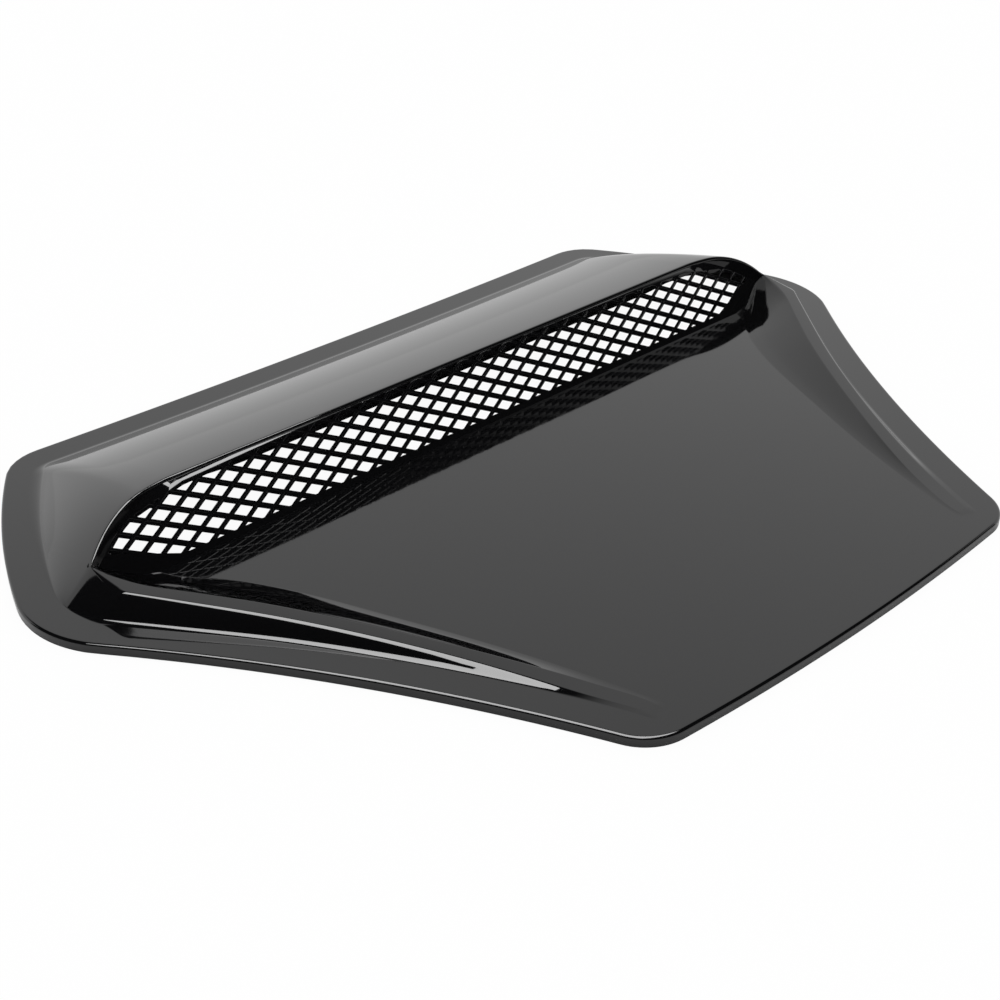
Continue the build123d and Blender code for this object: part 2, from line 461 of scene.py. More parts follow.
class Form:
    """The surfaces that the skin's patches lie on."""

    crest_steps = 8
    mouth_search = (0.0, 110.0)

    def __init__(self, outline: Outline, skin: SkinSize, mouth: MouthSize) -> None:
        """Keeps the sizes and lays out the lines that the rails follow.

        Args:
            outline: flange outline.
            skin: sizes of the skin.
            mouth: sizes of the mouth.
        """
        self.outline = outline
        self.s = skin
        self.m = mouth
        self.foot_line = Course(
            [(-187.5, 121.0), (-64.5, 164.5), (23.5, 207.0), (57.8, 232.0)],
            [0.27, 0.43, 0.68, 0.34],
        )
        self.crest = Course(
            [
                (-201.0, 121.8),
                (-184.2, 124.7),
                (-165.4, 132.0),
                (-146.8, 140.1),
                (-110.8, 158.5),
                (-84.0, 173.5),
                (-48.5, 194.5),
                (-13.8, 217.3),
                (10.8, 235.8),
                (35.3, 254.4),
                (47.0, 260.2),
                (57.0, 264.2),
                (66.0, 267.4),
            ]
        )
        self.base_margin = Course(
            [
                (1.0, 12.0),
                (1.25, 12.5),
                (1.67, 16.2),
                (2.04, 17.5),
                (2.2, 18.9),
                (2.45, 20.2),
                (2.65, 20.2),
                (2.85, 19.0),
                (3.0, 19.0),
                (3.3, 19.5),
                (3.68, 19.5),
            ]
        )

    def plane_height(self, y: float) -> float:
        """Height of the mouth plane.

        Args:
            y: place along the car.

        Returns:
            The height.
        """
        return self.s.rim_height + (y - self.m.foot_y) * math.tan(self.m.lean)

    def plane_y(self, z: float) -> float:
        """Place of the mouth plane at a height.

        Args:
            z: the height.

        Returns:
            The place along the car.
        """
        return self.m.foot_y + (z - self.s.rim_height) / math.tan(self.m.lean)

    def arch(self, x: float) -> float:
        """Height of the lip: level, then a round shoulder, then 45 degrees down to the tip.

        Args:
            x: distance from the middle.

        Returns:
            The height of the arch there.
        """
        s = self.s
        corner = s.hump_half - (s.lip_height - s.rim_height)
        reach = s.shoulder * math.tan(math.pi / 8)
        if x <= corner - reach:
            return s.lip_height
        if x >= corner + reach * math.sqrt(0.5):
            return s.rim_height + s.hump_half - x
        return s.lip_height - s.shoulder + math.sqrt(s.shoulder**2 - (x - corner + reach) ** 2)

    def lip(self, x: float) -> float:
        """Place of the lip along the car.

        Args:
            x: distance from the middle.

        Returns:
            The place: straight, then forwards to the low ends, then back to the tips.
        """
        s = self.s
        if x <= s.lip_straight:
            return s.lip_y
        if x <= s.lip_low:
            share = (x - s.lip_straight) / (s.lip_low - s.lip_straight)
            return s.lip_y - s.lip_sweep * share**s.lip_bend
        low = s.lip_y - s.lip_sweep
        return lerp(low, s.tip_y, (x - s.lip_low) / (s.hump_half - s.lip_low))

    def land(self, y: float) -> float:
        """Height of the rails' top over the plate.

        Args:
            y: place along the car.

        Returns:
            The height over the plate.
        """
        rise = self.s.rail_rise * (y - self.s.rail_front)
        return (rise + math.hypot(rise, self.s.rail_soft)) / 2

    def base(self, place: float) -> Vector:
        """Foot of the rail's outer wall.

        Args:
            place: place on the outline.

        Returns:
            The point.
        """
        return self.ring(self.base_margin.at(place)[0], place, self.s.rim_height)

    def foot(self, t: float) -> tuple[Vector, Vector]:
        """The inner wall's foot line, which turns to its back slope behind its last point.

        Args:
            t: place along the car.

        Returns:
            Point on the line, and its level normal towards the rail.
        """
        x, slope = self.foot_line.at(t)
        past = t - self.foot_line.points[-1][0]
        if past > 0:
            turned = lerp(slope, self.s.foot_back_slope, min(past / self.s.foot_bend, 1.0))
            x += (turned - slope) / 2 * past
            slope = turned
        return Vector((x, t, self.s.rim_height)), Vector((1.0, -slope, 0.0)).normalized()

    def inner_wall(self, t: float, share: float) -> Vector:
        """Point of the rail's inner wall.

        Args:
            t: place of its foot along the car.
            share: 0 at the foot and 1 at the crest.

        Returns:
            The point.
        """
        point, normal = self.foot(t)
        reach = 0.0
        for _ in range(self.crest_steps):
            x, slope = self.crest.at(point.y + normal.y * reach)
            miss = point.x + normal.x * reach - x
            reach -= miss / (normal.x - slope * normal.y)
        height = self.land(point.y + normal.y * reach) * share**self.s.wall_hollow
        return point + normal * (reach * share) + Vector((0, 0, height))

    def wall_end(self, share: float) -> float:
        """Where a line along the inner wall meets the mouth plane or the band.

        Args:
            share: 0 at the foot and 1 at the crest.

        Returns:
            Place of its foot.
        """

        def behind(t: float) -> bool:
            """Whether the wall is behind the mouth plane or the band there."""
            p = self.inner_wall(t, share)
            return p.y > min(self.plane_y(p.z), self.lip(p.x))

        return halved(*self.mouth_search, behind)

    def crease_place(self, x: float) -> float:
        """Place of the hump's foot on the drawn-in outline.

        Args:
            x: distance from the middle.

        Returns:
            Place on the outline.
        """
        end = float(len(self.outline.arc_steps))
        return halved(self.s.tip_place, end, lambda place: self.outline.at(self.s.margin, place)[0] <= x)

    def ring(self, margin: float, place: float, z: float) -> Vector:
        """Point over the drawn-in outline.

        Args:
            margin: distance inwards.
            place: place on the outline.
            z: height.

        Returns:
            The point.
        """
        x, y = self.outline.at(margin, place)
        return Vector((x, y, z))


class Skin:
    """Mesh that collects the outer patches, welds them and gives them an inner side."""

    weld_distance = 0.02 * MM
    least_edge = 0.01 * MM

    def __init__(self) -> None:
        """Starts an empty mesh."""
        self.bm = bmesh.new()

    def grid(self, columns: list[list[Vector]]) -> None:
        """Adds a patch of quads between neighbouring columns.

        Args:
            columns: columns of points in mm, all of one length.
        """
        verts = [[self.bm.verts.new(p * MM) for p in column] for column in columns]
        for a, b in zip(verts, verts[1:]):
            for i in range(len(a) - 1):
                self.bm.faces.new((a[i], b[i], b[i + 1], a[i + 1]))

    def polygon(self, points: list[Vector]) -> None:
        """Adds one flat face.

        Args:
            points: corners in mm.
        """
        self.bm.faces.new([self.bm.verts.new(p * MM) for p in points])

    def weld(self) -> None:
        """Joins points that lie together and drops faces with no area."""
        bmesh.ops.remove_doubles(self.bm, verts=self.bm.verts[:], dist=self.weld_distance)
        bmesh.ops.dissolve_degenerate(self.bm, edges=self.bm.edges[:], dist=self.least_edge)

    def thicken(self, wall: float) -> None:
        """Adds the inner side and closes the skin along its open edges.

        Args:
            wall: thickness in metres.
        """
        bm = self.bm
        bm.normal_update()
        outer = bm.faces[:]
        rims = [e for e in bm.edges if e.is_boundary]
        inner = {v: bm.verts.new(v.co - v.normal * wall) for v in bm.verts[:]}
        for low in inner.values():
            low.co.z = max(low.co.z, 0.0)
        for face in outer:
            bm.faces.new([inner[v] for v in reversed(face.verts)])
        for edge in rims:
            loop = edge.link_loops[0]
            a, b = loop.vert, loop.link_loop_next.vert
            bm.faces.new((b, a, inner[a], inner[b]))


class VentSkin:
    """The outer skin's right half: rim, flange, rail, hump and plate.

    Each patch is a row of columns that run inwards from the flange. wall_shares are the
    lines along the rail's inner wall, and stations the hump's columns away from its tip.
    """

    roof_steps = 18
    round_steps = 4
    rim_steps = 6
    rim_row = 0.35
    flange_row = 0.45
    wall_steps = 14
    wall_spacing = 1.7
    wall_shares = (0.0, 0.2, 0.35, 0.5, 0.65, 0.8, 0.92, 1.0)
    turn_steps = 6
    end_steps = 9
    height_steps = 5
    way_steps = 100
    way_end = 4
    tip_search = (255.0, 280.0)
    lip_slack = 0.05
    stations = (*span(0.0, 200.0, 24), *span(204.0, 282.0, 40))
    station_gap = 1.0

    def __init__(self, form: Form) -> None:
        """Keeps the surfaces and measures the rail.

        Args:
            form: the surfaces.
        """
        self.form = form
        self.s = form.s
        self.way = self.measured()
        self.rail_columns: list[list[Vector]] = []
        self.rail_places: list[float] = []
        self.hump_columns: list[list[Vector]] = []
        self.hump_places: list[float] = []

    def measured(self) -> list[Point2]:
        """Measures the way along the rail's foot, from the front tip to past the hump's tip.

        Returns:
            Pairs of way and place on the outline.
        """
        start = self.s.rail_place
        way = [(0.0, start)]
        point = self.form.base(start)
        for k in range(1, int(self.way_end - start) * self.way_steps + 1):
            place = start + k / self.way_steps
            after = self.form.base(place)
            way.append((way[-1][0] + (after - point).length, place))
            point = after
        return way

    def way_to(self, place: float) -> float:
        """Way along the rail's foot to a place.

        Args:
            place: place on the outline.

        Returns:
            The way.
        """
        k = min(max(int((place - self.s.rail_place) * self.way_steps), 0), len(self.way) - 2)
        (a, pa), (b, pb) = self.way[k], self.way[k + 1]
        return lerp(a, b, (place - pa) / (pb - pa))

    def place_at(self, way: float) -> float:
        """Place at a way along the rail's foot.

        Args:
            way: the way.

        Returns:
            The place on the outline.
        """
        k = max(i for i in range(len(self.way) - 1) if self.way[i][0] <= max(way, 0.0))
        (a, pa), (b, pb) = self.way[k], self.way[k + 1]
        return lerp(pa, pb, (way - a) / (b - a))

    def outer_top(self, place: float) -> Vector:
        """Sharp top edge of the rail's outer wall, which is steeper where the rail is higher.

        Args:
            place: place on the outline.

        Returns:
            The point.
        """
        s = self.s
        height = 1.0
        for _ in range(self.height_steps):
            tilt = s.draft_tilt * math.tanh(s.tilt_per_mm * height / s.draft_tilt)
            margin = self.form.base_margin.at(place)[0] + height / math.tan(tilt)
            p = self.form.ring(margin, place, 0)
            height = self.form.land(p.y)
        p.z = s.rim_height + height
        return p

    def lip_tip(self) -> Vector:
        """Where the lip comes down to the rail's top.

        Returns:
            The point.
        """

        def below(x: float) -> bool:
            """Whether the lip is lower than the rail's top there."""
            return self.form.arch(x) - self.s.rim_height <= self.form.land(self.form.lip(x))

        x = halved(*self.tip_search, below)
        return Vector((x, self.form.lip(x), self.form.arch(x)))

    def top_line(self) -> tuple[list[Vector], list[float]]:
        """Sharp top edge of the rail's outer wall and of the end face up to the lip's tip.

        Returns:
            The points, and the place on the outline of the foot below each.
        """
        s = self.s
        turn_way, top_way = self.way_to(s.turn_foot), self.way_to(s.turn_top)
        feet = [p for p in self.form.outline.places() if s.rail_place <= p < s.turn_foot - s.turn_room]
        feet.append(s.turn_foot)
        tops = [self.outer_top(self.place_at(self.way_to(p) / turn_way * top_way)) for p in feet]
        tip = self.lip_tip()
        corner = rounded(tops[-1], tops[-2], tip, s.turn_round, self.turn_steps)
        shifts = span(-s.turn_spread, s.turn_spread, self.turn_steps)
        tops[-1:] = corner
        feet[-1:] = [self.place_at(turn_way + shift) for shift in shifts]
        start = feet[-1]
        for share in span(0.0, 1.0, self.end_steps)[1:]:
            tops.append(corner[-1].lerp(tip, share))
            feet.append(lerp(start, s.tip_place, share))
        return tops, feet

    def rail_column(self, top: Vector, place: float, along: float, ends: list[float]) -> list[Vector]:
        """One column over the rail, from the flange to the plate.

        Args:
            top: sharp top edge of the outer wall.
            place: place on the outline of the wall's foot.
            along: share of the rail's length, 0 at its front tip.
            ends: where each line along the inner wall ends.

        Returns:
            The column's points.
        """
        form, s, steps = self.form, self.s, self.round_steps
        fade = min(1.0, max(0.0, (place - s.rail_place) / s.rail_fade))
        fade = fade * fade * (3 - 2 * fade)
        soft = 1.0 - max(0.0, (along - (1.0 - s.tip_fade)) / s.tip_fade)
        lines = zip(self.wall_shares, ends)
        walls = [form.inner_wall(lerp(s.rail_start, end, along), share) for share, end in lines]
        top = top.copy()
        for point in [top, *walls]:
            point.z = s.rim_height + (point.z - s.rim_height) * fade
        flange = form.ring(s.flange_line, place, s.rim_height)
        base, foot, crest = form.base(place), walls[0], walls[-1]
        inside = foot - Vector((s.plate_inset, 0.0, 0.0))
        low = rounded(base, flange, top, s.base_round * soft, steps)
        high = rounded(top, base, crest, s.edge_round * soft, steps)
        rows = [(k / self.wall_steps) ** self.wall_spacing for k in range(1, self.wall_steps)]
        column = [flange] + low + [low[-1].lerp(high[0], row) for row in rows] + high
        column += rounded(crest, top, walls[-2], s.crest_round * soft, steps)
        column += reversed(walls[1:-1])
        column += rounded(foot, walls[1], inside, s.foot_round * soft, steps)
        return column

    def rail(self) -> None:
        """Works out the rail's columns, from the front tip round its outer end to the lip."""
        tops, feet = self.top_line()
        lengths = [0.0]
        for a, b in zip(tops, tops[1:]):
            lengths.append(lengths[-1] + (b - a).length)
        ends = [self.form.wall_end(share) for share in self.wall_shares]
        for top, place, length in zip(tops, feet, lengths):
            self.rail_columns.append(self.rail_column(top, place, length / lengths[-1], ends))
            self.rail_places.append(place)

    def band_foot(self, lip: Vector) -> Vector:
        """Foot of the band under the lip, which rises to the lattice towards the tips.

        Args:
            lip: point of the lip over it.

        Returns:
            The point.
        """
        s = self.s
        share = min(max((lip.x - s.band_straight) / (s.band_high - s.band_straight), 0.0), 1.0)
        slab = self.form.plane_height(lip.y) - s.band_sink
        return Vector((lip.x, lip.y, lerp(s.band_foot, slab, share**2)))

    def hump_column(self, x: float, end: Vector | None = None, below: Vector | None = None) -> None:
        """Adds one column of the hump.

        Args:
            x: distance from the middle.
            end: the column's last point where it ends on the short end face.
            below: foot of the band where it stands on the rail.
        """
        form, s, steps = self.form, self.s, self.round_steps
        level = end is not None and end.z < s.rim_height + TOUCH
        place = s.tip_place if level else form.crease_place(x)
        flange = form.ring(s.flange_line, place, s.rim_height)
        lip = Vector((x, form.lip(x), form.arch(x))) if end is None else end.copy()
        crease = lip.copy() if level else form.ring(s.margin, place, s.rim_height)
        chord = lip - crease
        side = Vector((0.0, chord.z, -chord.y)).normalized()
        roof = []
        for share in span(0.0, 1.0, self.roof_steps)[1:]:
            lift = 4 * s.roof_bulge * chord.length * share * (1 - share)
            roof.append(crease.lerp(lip, share) + side * lift)
        room = min(1.0, chord.length / s.crease_room)
        column = [flange] + rounded(crease, flange, roof[1], s.crease_round * room, steps)
        column += roof[1:-1]
        if end is not None:
            # As many points as a lip and a band have, so that the columns match.
            column += [lip.copy() for _ in range(steps + 3)]
        else:
            foot = self.band_foot(lip) if below is None else below
            column += rounded(lip, roof[-2], foot, s.lip_round, steps)
            column += [column[-1].lerp(foot, 0.5), foot.copy()]
        self.hump_columns.append(column)
        self.hump_places.append(place)

    def hump(self) -> None:
        """Works out the hump's columns, from its tip to the middle."""
        last = self.rail_columns[-1]
        wall_foot = self.round_steps + 1
        crest = 2 * wall_foot + self.wall_steps
        for point in last[wall_foot : crest - self.round_steps]:
            self.hump_column(point.x, end=point)
        used = last[crest - 1].x
        for point in last[crest:]:
            if point.x >= used - TOUCH:
                continue
            if point.y < self.form.lip(point.x) - self.lip_slack:
                break
            self.hump_column(point.x, below=point)
            used = point.x
        for x in reversed([x for x in self.stations if x < used - self.station_gap]):
            self.hump_column(x)

    def rim(self, places: list[float]) -> list[list[Vector]]:
        """Columns of the rim and the flange's outer part.

        Args:
            places: places on the outline.

        Returns:
            The columns.
        """
        s = self.s
        columns = []
        for place in places:
            low = self.form.ring(0.0, place, 0.0)
            corner = self.form.ring(0.0, place, s.rim_height)
            flange = self.form.ring(s.flange_line, place, s.rim_height)
            column = [low, low.lerp(corner, self.rim_row)]
            column += rounded(corner, low, flange, s.rim_round, self.rim_steps)
            column += [corner.lerp(flange, self.flange_row), flange]
            columns.append(column)
        return columns

    def build(self, skin: Skin) -> None:
        """Adds all patches of the half.

        Args:
            skin: mesh half to fill.
        """
        self.rail()
        self.hump()
        front = [p for p in self.form.outline.places() if p < self.s.rail_place - TOUCH]
        skin.grid(self.rim(front + self.rail_places + self.hump_places))
        skin.grid(self.rail_columns)
        skin.grid(self.hump_columns)
        plate = [self.form.ring(self.s.flange_line, p, self.s.rim_height) for p in front]
        plate += self.rail_columns[0]
        plate += [column[-1] for column in self.rail_columns[1:]]
        plate.append(Vector((0.0, plate[-1].y, self.s.rim_height)))
        skin.polygon(plate)


def side_of(a: Point2, b: Point2, point: Point2) -> float:
    """Which side of a line a point lies on.

    Args:
        a: first point of the line.
        b: second point of the line.
        point: the point.

    Returns:
        A number over 0 to the left of the line, and under 0 to its right.
    """
    return (b[0] - a[0]) * (point[1] - a[1]) - (b[1] - a[1]) * (point[0] - a[0])


def inside(point: Point2, polygon: list[Point2]) -> bool:
    """Whether a point lies inside a convex polygon.

    Args:
        point: the point.
        polygon: corners, anticlockwise.

    Returns:
        True inside and on the border.
    """
    return all(side_of(a, b, point) >= 0 for a, b in zip(polygon, polygon[1:] + polygon[:1]))


def spaced(points: list[Point2], gap: float) -> list[Point2]:
    """Drops points of a closed line that lie closer than a gap to the one before.

    Args:
        points: points of the line.
        gap: least distance.

    Returns:
        The points that are left.
    """
    out: list[Point2] = []
    for p in points:
        if not out or math.dist(p, out[-1]) > gap:
            out.append(p)
    if len(out) > 1 and math.dist(out[0], out[-1]) < gap:
        out.pop()
    return out


def clip(polygon: list[Point2], border: list[Point2]) -> list[Point2]:
    """Part of a polygon inside a convex border.

    Args:
        polygon: corners, anticlockwise.
        border: corners of the convex border, anticlockwise.

    Returns:
        Corners of the part inside, or an empty list.
    """
    out = polygon
    for a, b in zip(border, border[1:] + border[:1]):
        points, out = out, []
        for p, q in zip(points, points[1:] + points[:1]):
            side_p, side_q = side_of(a, b, p), side_of(a, b, q)
            if side_p >= 0:
                out.append(p)
            if (side_p > 0) != (side_q > 0):
                share = side_p / (side_p - side_q)
                out.append((lerp(p[0], q[0], share), lerp(p[1], q[1], share)))
    return out


def area(polygon: list[Point2]) -> float:
    """Area of a polygon.

    Args:
        polygon: corners, anticlockwise.

    Returns:
        The area.
    """
    pairs = zip(polygon, polygon[1:] + polygon[:1])
    return sum(p[0] * q[1] - q[0] * p[1] for p, q in pairs) / 2


class Lattice:
    """The slanted diamond lattice with its frame, as one closed slab.

    It is laid out flat in the mouth plane, as x and the way v up the slope, and every
    wall is then drawn straight down.
    """

    corner_steps = 3
    edge_steps = 3
    head_steps = 10
    rows = range(-1, 10)
    wall_shares = (0.25, 0.5, 0.7)
    lip_stations = span(262.0, 214.0, 8)
    clip_gap = 0.05
    round_gap = 0.02
    flat_gap = 1e-5
    fold_share = 0.02

    def __init__(self, form: Form) -> None:
        """Keeps the surfaces.

        Args:
            form: the surfaces.
        """
        self.form = form
        self.m = form.m
        self.rise = math.sin(self.m.lean)
        self.level = math.cos(self.m.lean)

    def to_v(self, z: float) -> float:
        """Way up the slope of a height in the mouth plane.

        Args:
            z: the height.

        Returns:
            The way from the plane's foot.
        """
        return (z - self.form.s.rim_height) / self.rise

    def place(self, point: Point2, drop: float) -> Vector:
        """Point of the slab in space.

        Args:
            point: x and the way up the slope.
            drop: distance straight down from the slab's face.

        Returns:
            The point in metres.
        """
        y = self.m.foot_y + point[1] * self.level
        z = min(self.form.plane_height(y), self.m.top)
        return Vector((point[0], y, z - drop)) * MM

    def border(self) -> list[Point2]:
        """The slab's outer border, which reaches into the sill, the rail walls and the lip.

        Returns:
            Corners, anticlockwise.
        """
        form, m = self.form, self.m
        low = form.inner_wall(form.wall_end(0.0), 0.0)
        right = [(low.x + m.rail_overlap, -m.sill_overlap)]
        for share in self.wall_shares:
            p = form.inner_wall(form.wall_end(share), share)
            right.append((p.x + m.rail_overlap, (p.y - m.foot_y) / self.level))
        for x in [*self.lip_stations, form.s.lip_straight]:
            right.append((x, (form.lip(x) + m.lip_overlap - m.foot_y) / self.level))
        return right + [(-x, v) for x, v in reversed(right)]

    def mouth(self) -> list[Point2]:
        """The mouth's outline, whose head runs up to the band.

        Returns:
            Corners, anticlockwise and convex.
        """
        m = self.m
        tip = (m.tip_half, self.to_v(m.tip_height))
        head = (m.head_half, self.to_v(m.head_height))
        right = [(m.sill_half, self.to_v(m.sill_height))]
        for share in span(0.0, 1.0, self.head_steps):
            bow = 4 * m.head_bend * share * (1 - share)
            right.append((lerp(tip[0], head[0], share) + bow / 2, lerp(tip[1], head[1], share) + bow))
        top = (self.form.s.lip_y - m.head_gap - m.foot_y) / self.level
        right.append((m.head_half - m.head_inset, top))
        return right + [(-x, v) for x, v in reversed(right)]

    def soften(self, polygon: list[Point2], radius: float) -> list[Point2]:
        """Rounds the corners of a polygon.

        Args:
            polygon: corners.
            radius: radius of the rounding.

        Returns:
            Points of the rounded polygon.
        """
        corners = [Vector((*p, 0.0)) for p in polygon]
        points: list[Point2] = []
        for before, corner, after in zip(corners[-1:] + corners, corners, corners[1:] + corners[:1]):
            arc = rounded(corner, before, after, radius, self.corner_steps)
            points += [(q.x, q.y) for q in arc]
        return spaced(points, self.round_gap)

    def grown(self, polygon: list[Point2], reach: float) -> list[Point2]:
        """Polygon moved outwards.

        Args:
            polygon: points, anticlockwise.
            reach: distance outwards.

        Returns:
            The moved points.
        """
        out = []
        for i, p in enumerate(polygon):
            a, b = polygon[i - 1], polygon[(i + 1) % len(polygon)]
            share = reach / max(math.dist(a, b), TOUCH / 1000)
            out.append((p[0] + (b[1] - a[1]) * share, p[1] - (b[0] - a[0]) * share))
        return out

    def fold(self, polygon: list[Point2]) -> list[Point2]:
        """Adds points where a polygon crosses the line at which the slab's top turns level.

        Args:
            polygon: points.

        Returns:
            Points with the crossings.
        """
        line = self.to_v(self.m.top)
        out = []
        for p, q in zip(polygon, polygon[1:] + polygon[:1]):
            out.append(p)
            if (p[1] - line) * (q[1] - line) < -(TOUCH**2):
                share = (line - p[1]) / (q[1] - p[1])
                if self.fold_share < share < 1 - self.fold_share:
                    out.append((lerp(p[0], q[0], share), line))
        return out

    def holes(self) -> list[list[Point2]]:
        """The diamond holes, cut off at the mouth's outline and rounded.

        Returns:
            Polygons.
        """
        m = self.m
        edge = math.hypot(m.cell_half_width, m.cell_half_height)
        share = 1 - m.bar_width / 2 * edge / (m.cell_half_width * m.cell_half_height)
        a, b = m.cell_half_width * share, m.cell_half_height * share
        low = m.cell_phase / self.rise
        mouth = self.mouth()
        out = []
        count = int(m.tip_half / m.cell_half_width) + 1
        for column in range(-count, count + 1):
            for row in self.rows:
                if (column + row) % 2:
                    continue
                x, v = column * m.cell_half_width, low + row * m.cell_half_height
                diamond = [(x + a, v), (x, v + b), (x - a, v), (x, v - b)]
                part = spaced(clip(diamond, mouth), self.clip_gap)
                if len(part) > 2 and area(part) > m.cell_area:
                    out.append(self.fold(self.soften(part, m.cell_corner)))
        return out

    def edge_rows(self) -> list[Point2]:
        """The rows of points down a hole's wall, round its top edge and on to its foot.

        Returns:
            How far out and how far down each row lies.
        """
        m = self.m
        rows = []
        for turn in span(0.0, math.pi / 2, self.edge_steps)[1:]:
            rows.append((m.bar_round * (1 - math.sin(turn)), m.bar_round * (1 - math.cos(turn))))
        return rows + [(0.0, m.bar_depth)]

    def wall(self, bm: bmesh.types.BMesh, hole: list[Point2]) -> list[list[bmesh.types.BMVert]]:
        """Adds the points of a hole's wall under its top edge.

        Args:
            bm: mesh to fill.
            hole: the hole's outline.

        Returns:
            Rows of points, from the top down.
        """
        return [
            [bm.verts.new(self.place(p, drop)) for p in self.grown(hole, out)]
            for out, drop in self.edge_rows()
        ]

    def flat_faces(
        self, loops: list[list[Point2]]
    ) -> tuple[list[Point2], list[list[int]], dict[tuple[int, int], int]]:
        """Divides the slab's face into flat faces between its border and its holes.

        Args:
            loops: the border, then the top edge of each hole.

        Returns:
            The points; each face's points by number, with faces over the holes as well;
            and the number of the point at each loop's points.
        """
        points: list[Vector] = []
        edges: list[tuple[int, int]] = []
        owners: list[tuple[int, int]] = []
        for number, loop in enumerate(loops):
            first = len(points)
            points += [Vector(p) for p in loop]
            edges += [(first + i, first + (i + 1) % len(loop)) for i in range(len(loop))]
            owners += [(number, i) for i in range(len(loop))]
        found, _, faces, origin, _, _ = delaunay_2d_cdt(points, edges, [], 1, self.flat_gap)
        corners = {owners[source]: index for index, sources in enumerate(origin) for source in sources}
        return [(p.x, p.y) for p in found], faces, corners

    def build(self, bm: bmesh.types.BMesh) -> None:
        """Adds the slab.

        Args:
            bm: mesh to fill.
        """
        holes = self.holes()
        border = self.border()
        loops = [border] + [self.grown(hole, self.m.bar_round) for hole in holes]
        flat, faces, corners = self.flat_faces(loops)
        upper = [bm.verts.new(self.place(p, 0.0)) for p in flat]
        walls = [self.wall(bm, hole) for hole in holes]
        owner: dict[int, int] = {}
        feet: dict[int, bmesh.types.BMVert] = {}
        for (number, k), index in corners.items():
            if number > 0:
                owner[index] = number
                feet[index] = walls[number - 1][-1][k]
        for index, p in enumerate(flat):
            if index not in feet:
                feet[index] = bm.verts.new(self.place(p, self.m.bar_depth))
        lower = [feet[index] for index in range(len(flat))]
        for face in faces:
            numbers = {owner.get(i, 0) for i in face}
            middle = tuple(sum(flat[i][axis] for i in face) / len(face) for axis in (0, 1))
            if len(numbers) == 1 and 0 not in numbers and inside(middle, loops[min(numbers)]):
                continue
            bm.faces.new([upper[i] for i in face])
            bm.faces.new([lower[i] for i in reversed(face)])
        for number, rows in enumerate(walls, 1):
            count = len(rows[0])
            top = [upper[corners[number, k]] for k in range(count)]
            for above, below in zip([top, *rows], rows):
                for i in range(count):
                    j = (i + 1) % count
                    bm.faces.new((above[i], below[i], below[j], above[j]))
        for i in range(len(border)):
            a, b = corners[0, i], corners[0, (i + 1) % len(border)]
            bm.faces.new((upper[b], upper[a], lower[a], lower[b]))


def linear(code: str) -> tuple[float, float, float, float]:
    """Turns an sRGB colour code into linear values.

    Args:
        code: six hex digits.

    Returns:
        Red, green, blue and alpha.
    """
    out = []
    for i in (0, 2, 4):
        c = int(code[i : i + 2], 16) / 255
        out.append(c / 12.92 if c <= 0.04045 else ((c + 0.055) / 1.055) ** 2.4)
    return (out[0], out[1], out[2], 1.0)


def empty_tree(owner: bpy.types.Material | bpy.types.World) -> bpy.types.NodeTree:
    """Gives a material or the world an empty node tree.

    Args:
        owner: the material or the world.

    Returns:
        The tree.
    """
    owner.use_nodes = True
    owner.node_tree.nodes.clear()
    return owner.node_tree


def add_node(
    tree: bpy.types.NodeTree, kind: str, links: dict | None = None, **settings: object
) -> bpy.types.Node:
    """Adds a shader node, sets it and links its inputs.

    Args:
        tree: node tree.
        kind: node type.
        links: input name or number to the output socket or value it takes.
        settings: properties of the node.

    Returns:
        The node.
    """
    node = tree.nodes.new(kind)
    for name, value in settings.items():
        setattr(node, name, value)
    for name, source in (links or {}).items():
        if isinstance(source, bpy.types.NodeSocket):
            tree.links.new(source, node.inputs[name])
        else:
            node.inputs[name].default_value = source
    return node


def add_object(name: str, bm: bmesh.types.BMesh, material: bpy.types.Material) -> bpy.types.Object:
    """Turns a finished bmesh into an object of the scene.

    Args:
        name: name of the object and its mesh.
        bm: the bmesh, which is freed.
        material: its material.

    Returns:
        The object.
    """
    mesh = bpy.data.meshes.new(name)
    bm.to_mesh(mesh)
    bm.free()
    mesh.materials.append(material)
    made = bpy.data.objects.new(name, mesh)
    bpy.context.scene.collection.objects.link(made)
    return made


